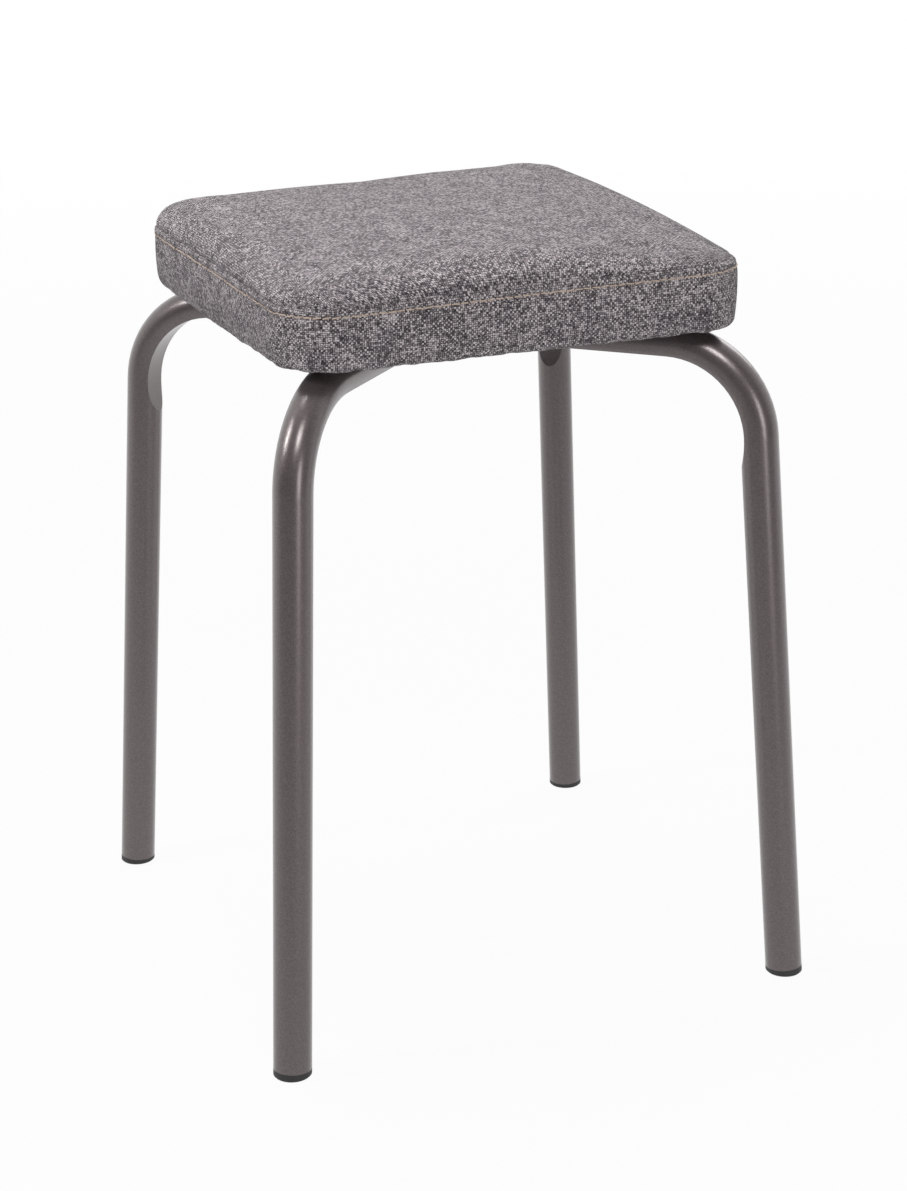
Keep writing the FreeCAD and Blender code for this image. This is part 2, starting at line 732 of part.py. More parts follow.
for item in doc.Objects:
    if "Invalid" in item.State or "Error" in item.State:
        raise RuntimeError(item.Label + " failed: " + ", ".join(item.State))
for item in finished:
    if item.Shape.isNull() or not item.Shape.isValid():
        raise RuntimeError(item.Label + " has no valid shape")
for item in finished:
    item.Shape.exportStep("parts/" + item.Label + ".step")
    print(item.Label, len(item.Shape.Solids), round(item.Shape.Volume))
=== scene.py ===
import math

import bmesh
import bpy
import numpy as np
from mathutils import Matrix, Vector


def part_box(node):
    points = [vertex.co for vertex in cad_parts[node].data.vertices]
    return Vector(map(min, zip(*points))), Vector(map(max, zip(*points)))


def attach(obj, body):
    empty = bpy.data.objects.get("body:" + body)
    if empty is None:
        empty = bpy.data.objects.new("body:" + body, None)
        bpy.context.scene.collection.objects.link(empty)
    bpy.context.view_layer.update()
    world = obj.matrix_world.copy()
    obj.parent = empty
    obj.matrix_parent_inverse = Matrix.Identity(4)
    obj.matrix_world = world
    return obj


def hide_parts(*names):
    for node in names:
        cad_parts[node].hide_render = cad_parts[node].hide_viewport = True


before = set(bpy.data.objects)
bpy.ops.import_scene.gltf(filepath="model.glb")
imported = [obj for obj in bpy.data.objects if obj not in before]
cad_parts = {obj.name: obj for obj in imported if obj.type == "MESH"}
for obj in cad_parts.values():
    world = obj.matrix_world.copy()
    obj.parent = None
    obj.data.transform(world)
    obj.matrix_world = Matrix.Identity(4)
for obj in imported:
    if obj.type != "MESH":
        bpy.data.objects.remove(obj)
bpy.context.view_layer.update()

# Stacking stool: two crossed tube hoops in satin metallic paint, black foot plugs
# and a square cushion sewn from heathered grey cloth with a pale topstitch.
# Lengths are in metres, in the CAD model's own frame, unless a comment says otherwise.

MILLIMETRE = 0.001

# Sizes read from the frame
BAND_LOW, BAND_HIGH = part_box("cover_side_band")
SEAT_UNDERSIDE = BAND_LOW.z
SEAT_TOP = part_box("cover_top_panel")[1].z
SEAT_HEIGHT = SEAT_TOP - SEAT_UNDERSIDE
SEAT_HALF = BAND_HIGH.x
LINING_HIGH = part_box("underside_lining")[1]

# The cushion's form: radii of its corners and edges, how far its sides draw in above and
# below their fullest height, and the rise of its crown
CORNER_RADIUS = 34 * MILLIMETRE
TOP_EDGE = 13 * MILLIMETRE
UNDER_EDGE = 4 * MILLIMETRE
SIDE_DRAW = 1.8 * MILLIMETRE
FULLEST_SHARE = 0.45
CROWN = 5 * MILLIMETRE
EDGE_INSET = TOP_EDGE + SIDE_DRAW
TOP_HALF = SEAT_HALF - EDGE_INSET

# Heights of the two sewing lines above the seat's underside
STITCH_LEVEL = 33.5 * MILLIMETRE
SEAM_LEVEL = 38.3 * MILLIMETRE

# The hem turned under the board, and the recess that the lining shows in
HEM_START = 125 * MILLIMETRE
HEM_TUCK = 2 * MILLIMETRE
HEM_HALF = LINING_HIGH.x - HEM_TUCK
RECESS_CORNER = 4 * MILLIMETRE
RECESS_WALL = 0.5 * MILLIMETRE
RECESS_GAP = 0.4 * MILLIMETRE

# How far each corner departs from the true form, in millimetres, as in the photograph:
# front left, front right, rear right, rear left
CORNERS = ((-1, -1), (1, -1), (1, 1), (-1, 1))
TOP_SETTLE = (-3, -8.5, 9, 2)
SEAM_SETTLE = (-4, 1.5, 0, 1.2)
UNDER_ROUNDING = (0, 0, 2, 5)

# Rows of the cushion's mesh; the side's levels are in millimetres above the underside
TOP_CELLS = 68
HALF_CELLS = TOP_CELLS // 2
EDGE_ROWS = 6
SIDE_LEVELS = (10.5, 14.5, 19, 23.5, 27.5, 30.5, 32.4, 33.5, 34.6, 35.8, 37.2, 38.3, 39.4)
SIDE_TOP = SIDE_LEVELS[-1] * MILLIMETRE
UNDER_ROWS = 4
HEM_ROWS = 4

# Marks that each vertex carries: its height on the side band, and how many of the four
# sides it is round. The top's mark is above any height, and a vertex whose mark was
# blended below TOP_MARK_LEAST by subdivision still moves with the side.
HEIGHT_MARK = "band_height"
AROUND_MARK = "band_around"
TOP_MARK = 1.0
TOP_MARK_LEAST = 0.9
BAND_LEAST = 0.001 * MILLIMETRE

# The band's pattern lies this far along the flat cloth, apart from the top's
BAND_OFFSET = 1.0

# The cloth solver: what holds the cover, and how far it may blow out
HELD_BELOW = 6 * MILLIMETRE
SEAM_GRIP = 0.35
SEAM_GRIP_WIDTH = 1.6 * MILLIMETRE
CLOTH_FRAMES = 20
CLOTH_CAP = 1.0 * MILLIMETRE

# Depth and width of the seam and the stitch line, and of the strip that stands out between
SEAM_DEPTH = 1.1 * MILLIMETRE
SEAM_WIDTH = 0.9 * MILLIMETRE
STITCH_DEPTH = 0.7 * MILLIMETRE
STITCH_WIDTH = 0.8 * MILLIMETRE
STRIP_RISE = 0.5 * MILLIMETRE
STRIP_WIDTH = 1.8 * MILLIMETRE

# Waves along the band, each with its wavelength: the stitch line's puckers, the side's slow
# sway in and out, and the lift of the under edge, with how far up the side that reaches
PUCKER_LENGTH = 11 * MILLIMETRE
SIDE_SWAY = 0.35 * MILLIMETRE
SIDE_SWAY_LENGTH = 61 * MILLIMETRE
HEM_WAVE = 0.45 * MILLIMETRE
HEM_WAVE_REACH = 5 * MILLIMETRE
HEM_WAVE_LENGTH = 23 * MILLIMETRE

# The weave: distance between yarns, how fast a yarn's tone drifts, and how far it wavers
YARN_PITCH = 1.25 * MILLIMETRE
YARN_DRIFT = 0.35
YARN_WAVER = 1.4 * MILLIMETRE

# The topstitch, and the staples' rows beside the lining
THREAD = {
    "Pitch": 5.2 * MILLIMETRE,
    "Length": 4.4 * MILLIMETRE,
    "Radius": 0.45 * MILLIMETRE,
    "Unevenness": 0.16,
}
THREAD_LIFT = 0.35 * MILLIMETRE
STAPLE = {
    "Pitch": 24 * MILLIMETRE,
    "Length": 11 * MILLIMETRE,
    "Radius": 0.45 * MILLIMETRE,
    "Unevenness": 0.05,
}
STAPLE_LINE = 117 * MILLIMETRE
STAPLE_RUN = 84 * MILLIMETRE
STAPLE_STAND = 0.1 * MILLIMETRE

# The camera, fitted to the photograph: angles in degrees, focal length in its pixels
CAMERA_PLACE = Vector((-0.5619, -1.3909, 0.7300))
CAMERA_BEARING = -22.3
CAMERA_FALL = 19.0
CAMERA_ROLL = 0.7
FOCAL_PIXELS = 2586
PICTURE_HEIGHT = 1191
SENSOR_MILLIMETRES = 36.0

# The studio: light from all round, the dimness behind the camera in reflections, and the
# floor's glow, which grows to white with the distance from the stool
FILL = 0.2
STUDIO_DIM = 0.1
FLOOR_HALF = 14.0
FLOOR_GLOW = 0.95
GLOW_NEAR = 0.7
GLOW_FAR = 3.0

# Lamps: the place they point at, the distance of those round the stool, and for each of
# those its name, angle to the right of the camera, angle above the floor, size and watts
LIT_POINT = (0, 0, 0.35)
LAMP_DISTANCE = 1.9
LAMPS = (
    ("left_softbox", -74, 34, (0.32, 0.55), 13),
    ("front_softbox", 4, 42, (0.5, 0.45), 11),
    ("right_softbox", 30, 3, (0.45, 0.8), 6.5),
    ("rear_softbox", 140, 30, (0.8, 0.8), 5),
)
OVERHEAD_PLACE = (-0.1, 0.35, 1.9)
OVERHEAD_SIZE = (0.8, 0.6)
OVERHEAD_WATTS = 14


# Node helpers

def new_material(name):
    """Start a material that holds only its shader and its output."""
    material = bpy.data.materials.new(name)
    material.use_nodes = True
    return material, material.node_tree, material.node_tree.nodes["Principled BSDF"]


def add_node(tree, kind, **settings):
    """Add a node; each setting is one of its inputs, or else one of its properties."""
    node = tree.nodes.new(kind)
    for name, value in settings.items():
        if name in node.inputs:
            node.inputs[name].default_value = value
        else:
            setattr(node, name, value)
    return node


def set_inputs(node, values):
    """Set several inputs of a node by name."""
    for name, value in values.items():
        node.inputs[name].default_value = value


def object_place(tree):
    """The point being shaded, in the piece's own coordinates."""
    return add_node(tree, "ShaderNodeTexCoord").outputs["Object"]


def math_node(tree, operation, first, second):
    """Add one Math node; each operand is a socket or a number."""
    node = add_node(tree, "ShaderNodeMath", operation=operation)
    for index, operand in enumerate((first, second)):
        if isinstance(operand, (int, float)):
            node.inputs[index].default_value = operand
        else:
            tree.links.new(operand, node.inputs[index])
    return node.outputs[0]


def scaled(tree, value, share, start):
    """Turn a value of 0 to 1 into one that runs from start over share."""
    return math_node(tree, "ADD", math_node(tree, "MULTIPLY", value, share), start)


def colour_ramp(tree, factor, stops):
    """Add a colour ramp whose stops are (position, red, green, blue)."""
    node = add_node(tree, "ShaderNodeValToRGB")
    ramp = node.color_ramp
    while len(ramp.elements) < len(stops):
        ramp.elements.new(0.5)
    for element, (position, red, green, blue) in zip(ramp.elements, stops):
        element.position = position
        element.color = (red, green, blue, 1)
    tree.links.new(factor, node.inputs["Fac"])
    return node.outputs["Color"]


def noise(tree, place, scale, detail=2.0, roughness=0.5):
    """Soft noise of 0 to 1; scale is about how many of its blots fit in one unit."""
    node = add_node(tree, "ShaderNodeTexNoise", Scale=scale, Detail=detail, Roughness=roughness)
    tree.links.new(place, node.inputs["Vector"])
    return node.outputs["Fac"]


def cells(tree, place, scale):
    """Irregular cells, about scale of them in a row of one metre."""
    node = add_node(tree, "ShaderNodeTexVoronoi", Scale=scale)
    tree.links.new(place, node.inputs["Vector"])
    return node


def bump(tree, height, distance, strength, after=None):
    """Turn a height into a normal, on top of another bump if one is given."""
    node = add_node(tree, "ShaderNodeBump", Distance=distance, Strength=strength)
    tree.links.new(height, node.inputs["Height"])
    if after is not None:
        tree.links.new(after, node.inputs["Normal"])
    return node.outputs["Normal"]


def mix_colour(tree, factor, colour, other):
    """Blend a colour towards one fixed (red, green, blue)."""
    node = add_node(tree, "ShaderNodeMix", data_type="RGBA")
    # A Mix node takes its colours at inputs 6 and 7, and gives theirs at output 2
    tree.links.new(factor, node.inputs[0])
    tree.links.new(colour, node.inputs[6])
    node.inputs[7].default_value = (*other, 1)
    return node.outputs[2]


def mix_values(tree, factor, first, second):
    """Blend from a first value to a second."""
    node = add_node(tree, "ShaderNodeMix")
    # A Mix node takes its values at inputs 2 and 3, and gives theirs at output 0
    tree.links.new(factor, node.inputs[0])
    tree.links.new(first, node.inputs[2])
    tree.links.new(second, node.inputs[3])
    return node.outputs[0]


# Materials

def leg_paint():
    """Dark grey metallic powder paint: satin, with fine bright and dark flakes."""
    material, tree, shader = new_material("leg_metallic_paint")
    place = object_place(tree)
    flakes = add_node(tree, "ShaderNodeSeparateColor")
    tree.links.new(cells(tree, place, 1500).outputs["Color"], flakes.inputs["Color"])
    drift = noise(tree, place, 22, 3.0)
    grain = noise(tree, place, 900)
    flake_half = math_node(tree, "MULTIPLY", flakes.outputs[0], 0.5)
    grain_half = math_node(tree, "MULTIPLY", grain, 0.5)
    base = colour_ramp(tree, math_node(tree, "ADD", flake_half, grain_half), [
        (0.0, 0.086, 0.069, 0.069),
        (0.5, 0.116, 0.093, 0.093),
        (0.85, 0.150, 0.120, 0.120),
        (1.0, 0.223, 0.179, 0.179),
    ])
    drift_share = math_node(tree, "MULTIPLY", drift, 0.25)
    shaded = mix_colour(tree, drift_share, base, (0.110, 0.088, 0.088))
    tree.links.new(shaded, shader.inputs["Base Color"])
    set_inputs(shader, {"Metallic": 0.6, "Coat Weight": 0.9, "Coat Roughness": 0.24})
    tree.links.new(scaled(tree, grain, 0.12, 0.28), shader.inputs["Roughness"])
    orange_peel = bump(tree, noise(tree, place, 260), 0.0002, 0.12)
    tree.links.new(orange_peel, shader.inputs["Coat Normal"])
    tree.links.new(bump(tree, grain, 0.0001, 0.2, orange_peel), shader.inputs["Normal"])
    return material


def moulded_black():
    """Matt moulded plastic with a fine spark-eroded grain."""
    material, tree, shader = new_material("moulded_black_plastic")
    place = object_place(tree)
    grain = noise(tree, place, 1400, 3.0)
    scuffs = noise(tree, place, 90, 4.0, 0.7)
    tone = colour_ramp(tree, scuffs, [
        (0.35, 0.016, 0.016, 0.017),
        (0.75, 0.034, 0.033, 0.033),
    ])
    tree.links.new(tone, shader.inputs["Base Color"])
    tree.links.new(scaled(tree, scuffs, 0.25, 0.42), shader.inputs["Roughness"])
    tree.links.new(bump(tree, grain, 0.0001, 0.4), shader.inputs["Normal"])
    return material


def yarn_shape(tree, across, along):
    """Height of one yarn where it lies on top: round across and arched along."""
    def arch(position, depth):
        """One in the middle of a yarn's cell, and less by depth at its edges."""
        fraction = math_node(tree, "FRACT", position, 0)
        centred = math_node(tree, "SUBTRACT", math_node(tree, "MULTIPLY", fraction, 2), 1)
        squared = math_node(tree, "MULTIPLY", centred, centred)
        return math_node(tree, "SUBTRACT", 1, math_node(tree, "MULTIPLY", squared, depth))

    return math_node(tree, "MULTIPLY", arch(across, 0.9), arch(along, 0.4))


def yarn_tint(tree, across, along, offset):
    """Heather of one set of yarns: each has its own tone, drifting along its length."""
    place = add_node(tree, "ShaderNodeCombineXYZ", Z=offset)
    yarn = math_node(tree, "FLOOR", across, 0)
    tree.links.new(math_node(tree, "MULTIPLY", yarn, 3.71), place.inputs["X"])
    tree.links.new(math_node(tree, "MULTIPLY", along, YARN_DRIFT), place.inputs["Y"])
    return noise(tree, place.outputs[0], 1.0, 3.0, 0.75)


def float_tint(tree, across, along):
    """A tone of its own for every float, where a yarn comes up between two crossings."""
    place = add_node(tree, "ShaderNodeCombineXYZ")
    tree.links.new(math_node(tree, "FLOOR", across, 0), place.inputs["X"])
    tree.links.new(math_node(tree, "FLOOR", along, 0), place.inputs["Y"])
    speck = add_node(tree, "ShaderNodeTexWhiteNoise", noise_dimensions="2D")
    tree.links.new(place.outputs[0], speck.inputs["Vector"])
    return speck.outputs["Value"]


def wavered_pattern(tree, pattern):
    """The flat pattern with its yarns wavering a little, as sockets across and along."""
    waver = add_node(tree, "ShaderNodeTexNoise", Scale=130, Detail=2)
    tree.links.new(pattern, waver.inputs["Vector"])
    shift = add_node(tree, "ShaderNodeVectorMath", operation="MULTIPLY_ADD")
    shift.inputs[1].default_value = (YARN_WAVER, YARN_WAVER, 0)
    tree.links.new(waver.outputs["Color"], shift.inputs[0])
    tree.links.new(pattern, shift.inputs[2])
    split = add_node(tree, "ShaderNodeSeparateXYZ")
    tree.links.new(shift.outputs[0], split.inputs[0])
    across = math_node(tree, "DIVIDE", split.outputs[0], YARN_PITCH)
    along = math_node(tree, "DIVIDE", split.outputs[1], YARN_PITCH)
    return across, along


def woven_cloth():
    """Heathered grey plain weave, drawn over the cloth's own flat pattern in metres."""
    material, tree, shader = new_material("woven_heather_cloth")
    pattern = add_node(tree, "ShaderNodeUVMap", uv_map="cloth_flat").outputs["UV"]
    across, along = wavered_pattern(tree, pattern)
    yarn_across = math_node(tree, "FLOOR", across, 0)
    yarn_along = math_node(tree, "FLOOR", along, 0)
    crossing = math_node(tree, "ADD", yarn_across, yarn_along)
    warp_on_top = math_node(tree, "PINGPONG", crossing, 1)
    weft_height = yarn_shape(tree, along, across)
    warp_height = yarn_shape(tree, across, along)
    height = mix_values(tree, warp_on_top, weft_height, warp_height)
    weft_tint = yarn_tint(tree, along, across, 4.0)
    warp_tint = yarn_tint(tree, across, along, 0.0)
    fibre = noise(tree, pattern, 1200, 3.0, 0.75)
    tone = scaled(tree, mix_values(tree, warp_on_top, weft_tint, warp_tint), 0.7, 0.15)
    for part, middle, share in (
        (float_tint(tree, across, along), 0.5, 0.17),
        (warp_on_top, 0.5, 0.08),
        (fibre, 0.5, 0.6),
        (noise(tree, pattern, 60, 3.0, 0.6), 0.5, 0.2),
        (noise(tree, pattern, 380, 2.0, 0.6), 0.5, 0.34),
        # The yarns' height also goes into the tone, lighter on their crowns and darker in the
        # hollows between them: painted shade between the yarns
        (height, 0.57, 0.2),
    ):
        centred = math_node(tree, "SUBTRACT", part, middle)
        tone = math_node(tree, "ADD", tone, math_node(tree, "MULTIPLY", centred, share))
    colour = colour_ramp(tree, tone, [
        (0.32, 0.023, 0.018, 0.022),
        (0.44, 0.077, 0.067, 0.075),
        (0.53, 0.215, 0.191, 0.203),
        (0.66, 0.695, 0.633, 0.650),
    ])
    tree.links.new(colour, shader.inputs["Base Color"])
    set_inputs(shader, {
        "Roughness": 0.95,
        "Specular IOR Level": 0.2,
        "Sheen Weight": 0.25,
        "Sheen Roughness": 0.5,
        "Sheen Tint": (0.9, 0.87, 0.87, 1),
    })
    yarns = bump(tree, height, 0.0007, 0.8)
    tree.links.new(bump(tree, fibre, 0.0003, 0.5, yarns), shader.inputs["Normal"])
    return material


def sewing_thread():
    """Pale beige twisted thread."""
    material, tree, shader = new_material("pale_sewing_thread")
    twist = noise(tree, object_place(tree), 1800)
    tone = colour_ramp(tree, twist, [(0.3, 0.40, 0.30, 0.24), (0.7, 0.70, 0.56, 0.47)])
    tree.links.new(tone, shader.inputs["Base Color"])
    set_inputs(shader, {"Roughness": 0.7, "Sheen Weight": 0.2})
    tree.links.new(bump(tree, twist, 0.0001, 0.5), shader.inputs["Normal"])
    return material


def lining_cloth():
    """Black spun-bonded lining, dotted by its bonding roller."""
    material, tree, shader = new_material("black_spunbond_lining")
    place = object_place(tree)
    bonds = cells(tree, place, 420)
    fibres = noise(tree, place, 1100, 4.0, 0.8)
    tone = colour_ramp(tree, fibres, [(0.3, 0.012, 0.012, 0.013), (0.8, 0.05, 0.05, 0.052)])
    tree.links.new(tone, shader.inputs["Base Color"])
    shader.inputs["Roughness"].default_value = 0.8
    dots = bump(tree, bonds.outputs["Distance"], 0.0002, 0.6)
    tree.links.new(bump(tree, fibres, 0.0002, 0.4, dots), shader.inputs["Normal"])
    return material


def plated_steel():
    """Bright zinc plating with a faint yellow-blue bloom."""
    material, tree, shader = new_material("zinc_plated_steel")
    place = object_place(tree)
    bloom = noise(tree, place, 160, 3.0)
    tone = colour_ramp(tree, bloom, [(0.3, 0.50, 0.51, 0.53), (0.7, 0.66, 0.65, 0.61)])
    tree.links.new(tone, shader.inputs["Base Color"])
    shader.inputs["Metallic"].default_value = 1.0
    tree.links.new(scaled(tree, bloom, 0.2, 0.22), shader.inputs["Roughness"])
    tree.links.new(bump(tree, noise(tree, place, 1500), 0.00005, 0.3), shader.inputs["Normal"])
    return material


def plywood():
    """Birch plywood: long grain on the faces and thin plies at the edge."""
    material, tree, shader = new_material("birch_plywood")
    stretch = add_node(tree, "ShaderNodeMapping", Scale=(6, 70, 900))
    tree.links.new(object_place(tree), stretch.inputs["Vector"])
    grain = noise(tree, stretch.outputs[0], 1.5, 5.0, 0.6)
    tone = colour_ramp(tree, grain, [(0.3, 0.50, 0.34, 0.20), (0.7, 0.70, 0.54, 0.36)])
    tree.links.new(tone, shader.inputs["Base Color"])
    shader.inputs["Roughness"].default_value = 0.62
    tree.links.new(bump(tree, grain, 0.0002, 0.3), shader.inputs["Normal"])
    return material


def paint_cad_nodes(steel):
    """Give every CAD node that stays its finish, found by a word in its name."""
    black = moulded_black()
    finishes = {
        "leg_hoop": leg_paint(),
        "foot_plug": black,
        "saddle": black,
        "seat_board": plywood(),
        "lining": lining_cloth(),
        "screw": steel,
        "washer": steel,
        "tee_nut": steel,
    }
    for name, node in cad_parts.items():
        for word, material in finishes.items():
            if word in name:
                node.data.materials.clear()
                node.data.materials.append(material)


# Form of the cushion

def corner_change(x, y, changes):
    """Blend the four corners' changes in millimetres; each fades to nothing mid-side."""
    change = 0.0
    for (side_x, side_y), amount in zip(CORNERS, changes):
        change += amount * max(0.0, side_x * x / SEAT_HALF) * max(0.0, side_y * y / SEAT_HALF)
    return change * MILLIMETRE


def top_level(x, y):
    """Height of the crowned top above the underside, before its edge is rounded.

    The filling has settled unevenly, so each corner lies a little off the true crown.
    """
    ball = (SEAT_HALF ** 2 + CROWN ** 2) / (2 * CROWN)
    drop = ball - math.sqrt(ball ** 2 - x * x - y * y)
    return SEAT_HEIGHT - drop + corner_change(x, y, TOP_SETTLE)


def edge_draw(radius, distance):
    """How far a round edge has curved in, at a distance from where it starts."""
    return radius - math.sqrt(max(radius ** 2 - distance ** 2, 0))


def side_inset(height, local_top, under_edge=UNDER_EDGE):
    """How far the side stands in from the seat's full half at one height."""
    fullest = SEAT_HEIGHT * FULLEST_SHARE
    inset = SIDE_DRAW * ((height - fullest) / fullest) ** 2
    if height < under_edge:
        inset += edge_draw(under_edge, under_edge - height)
    into_edge = height - (local_top - TOP_EDGE)
    if into_edge > 0:
        inset += edge_draw(TOP_EDGE, into_edge)
    return inset


def edge_start(local_top, level):
    """Angle on the rolled edge at which it passes one level of the side."""
    return math.asin(max(0.0, min(1.0, (level - local_top + TOP_EDGE) / TOP_EDGE)))


def settled_level(level, x, y):
    """A level of the side, moved with the seam near the corners."""
    share = max(0.0, (level - SIDE_LEVELS[0] * MILLIMETRE) / STITCH_LEVEL)
    return level + share * corner_change(x, y, SEAM_SETTLE)


def inwards(x, y, inset):
    """Move a point of the full plan in, square to the side or along the corner's ray."""
    straight = SEAT_HALF - CORNER_RADIUS
    centre_x = max(-straight, min(straight, x))
    centre_y = max(-straight, min(straight, y))
    share = inset / math.hypot(x - centre_x, y - centre_y)
    return x + (centre_x - x) * share, y + (centre_y - y) * share


def rounded_point(half, corner, share):
    """Place a share of 0 to 4 round a square with round corners, by arc length."""
    straight = half - corner
    quarter = corner * math.pi / 2
    side_length = 2 * straight + quarter
    side = int(share) % 4
    run = (share - int(share)) * side_length
    half_arc = quarter / 2
    if run < half_arc:
        angle = math.pi / 4 - (run / corner if corner > 0 else 0)
        x = straight + corner * math.cos(angle)
        y = -straight - corner * math.sin(angle)
    elif run < half_arc + 2 * straight:
        x = half
        y = -straight + (run - half_arc)
    else:
        angle = (run - half_arc - 2 * straight) / corner if corner > 0 else 0
        x = straight + corner * math.cos(angle)
        y = straight + corner * math.sin(angle)
    turn = side * math.pi / 2
    return (x * math.cos(turn) - y * math.sin(turn), x * math.sin(turn) + y * math.cos(turn))


# Mesh of the cushion

class RingStack:
    """The cushion's rings, from the middle of the top over the side to the recess below.

    flats is each vertex's place on the cloth laid flat, and laid is its distance from the
    middle of that. reach is the same distance at the edge of what has been laid so far.
    """

    def __init__(self):
        self.maker = bmesh.new()
        self.height_mark = self.maker.verts.layers.float.new(HEIGHT_MARK)
        self.around_mark = self.maker.verts.layers.float.new(AROUND_MARK)
        self.rings = []
        self.flats = {}
        self.laid = {}
        self.reach = 0.0

    def add_middle(self, place, mark):
        """Add a vertex in the middle of the top or of the recess."""
        vertex = self.maker.verts.new(place(0, 0))
        vertex[self.height_mark] = mark
        self.flats[vertex] = (0.0, 0.0)
        return vertex

    def add_ring(self, half, corner, ring_size, mark, reach, place):
        """Add one ring; place turns a point of its plan into a point in space."""
        ring = []
        for step in range(8 * ring_size):
            share = step / (2 * ring_size)
            x, y = rounded_point(half, corner, share)
            vertex = self.maker.verts.new(place(x, y))
            vertex[self.height_mark] = mark
            vertex[self.around_mark] = share
            self.flats[vertex] = (x * reach / half, y * reach / half)
            self.laid[vertex] = reach
            ring.append(vertex)
        self.rings.append(ring)

    def add_full_ring(self, mark, place):
        """Add a ring on the seat's full plan, at the cloth's present reach."""
        self.add_ring(SEAT_HALF, CORNER_RADIUS, HALF_CELLS, mark, self.reach, place)


def add_top(stack):
    """Add the crowned top, ring by ring from its middle."""
    def on_top(x, y):
        return (x, y, SEAT_UNDERSIDE + top_level(x, y))

    middle = stack.add_middle(on_top, TOP_MARK)
    for ring_size in range(1, HALF_CELLS + 1):
        share = ring_size / HALF_CELLS
        corner = (CORNER_RADIUS - EDGE_INSET) * share ** 3
        stack.add_ring(TOP_HALF * share, corner, ring_size, TOP_MARK, TOP_HALF * share, on_top)
    stack.reach = TOP_HALF
    return middle


def add_rolled_edge(stack):
    """Add the rolled edge between the top and the side, and return its rows' distance."""
    edge_turn = math.pi / 2 - edge_start(top_level(TOP_HALF, 0), SIDE_TOP)
    edge_step = edge_turn * TOP_EDGE / (EDGE_ROWS + 1)
    for step in range(EDGE_ROWS, 0, -1):
        def on_edge(x, y, step=step):
            local_top = top_level(*inwards(x, y, EDGE_INSET))
            start = edge_start(local_top, settled_level(SIDE_TOP, x, y))
            turn = start + (math.pi / 2 - start) * step / (EDGE_ROWS + 1)
            height = local_top - TOP_EDGE + TOP_EDGE * math.sin(turn)
            across, along = inwards(x, y, side_inset(height, local_top))
            return (across, along, SEAT_UNDERSIDE + height)

        stack.reach += edge_step
        stack.add_full_ring(TOP_MARK, on_edge)
    return edge_step


def add_side(stack, edge_step):
    """Add the side band's rows from the seam down, and return the lowest level."""
    previous = SIDE_TOP + edge_step
    for level in reversed(SIDE_LEVELS):
        level *= MILLIMETRE

        def on_side(x, y, level=level):
            local_top = top_level(*inwards(x, y, EDGE_INSET))
            height = settled_level(level, x, y)
            across, along = inwards(x, y, side_inset(height, local_top))
            return (across, along, SEAT_UNDERSIDE + height)

        stack.reach += previous - level
        previous = level
        stack.add_full_ring(level, on_side)
    return previous


def add_under_edge(stack, lowest):
    """Round the side in to the underside."""
    for step in range(UNDER_ROWS, -1, -1):
        share = 1 - math.cos(math.pi / 2 * step / UNDER_ROWS)

        def on_under_edge(x, y, share=share):
            under_edge = UNDER_EDGE + corner_change(x, y, UNDER_ROUNDING)
            inset = side_inset(share * under_edge, SEAT_HEIGHT, under_edge)
            across, along = inwards(x, y, inset)
            return (across, along, SEAT_UNDERSIDE + share * under_edge)

        level = share * UNDER_EDGE
        if step == UNDER_ROWS:
            stack.reach += lowest - level
        else:
            stack.reach += UNDER_EDGE * math.pi / (2 * UNDER_ROWS)
        stack.add_full_ring(max(level, BAND_LEAST), on_under_edge)


def add_hem(stack):
    """Add the hem that is turned flat under the board."""
    def on_hem(x, y):
        return (x, y, SEAT_UNDERSIDE)

    fold_half = SEAT_HALF - SIDE_DRAW - UNDER_EDGE
    for step in range(HEM_ROWS + 1):
        half = HEM_START + (HEM_HALF - HEM_START) * step / HEM_ROWS
        corner = max(CORNER_RADIUS - (SEAT_HALF - half), RECESS_CORNER)
        reach = stack.reach + fold_half - half
        stack.add_ring(half, corner, HALF_CELLS, 0.0, reach, on_hem)


def add_recess(stack):
    """Close the form just above the lining, which shows inside the hem."""
    def on_recess(x, y):
        return (x, y, LINING_HIGH.z + RECESS_GAP)

    for ring_size in range(HALF_CELLS, 0, -1):
        share = ring_size / HALF_CELLS
        half = (HEM_HALF - RECESS_WALL) * share
        stack.add_ring(half, RECESS_CORNER * share, ring_size, 0.0, half, on_recess)
    return stack.add_middle(on_recess, 0.0)


def close_square(maker, middle, ring):
    """Close the innermost ring of eight points round its middle with four squares."""
    for side in range(4):
        corner = ring[2 * side]
        before = ring[2 * side - 1]
        after = ring[2 * side + 1]
        maker.faces.new((middle, before, corner, after))


def bridge_rings(maker, rings):
    """Join the rings into faces: a square grid on top and below, ring to ring between."""
    for inner, outer in zip(rings, rings[1:]):
        if len(inner) > len(outer):
            inner, outer = outer, inner
        for side in range(4):
            if len(inner) == len(outer):
                join_level_side(maker, inner, outer, side)
            else:
                join_growing_side(maker, inner, outer, side)


def join_level_side(maker, inner, outer, side):
    """Join one side of two rings that have the same number of points."""
    count = len(outer)
    for step in range(count // 4):
        here = side * (count // 4) + step
        after = (here + 1) % count
        maker.faces.new((inner[here], outer[here], outer[after], inner[after]))


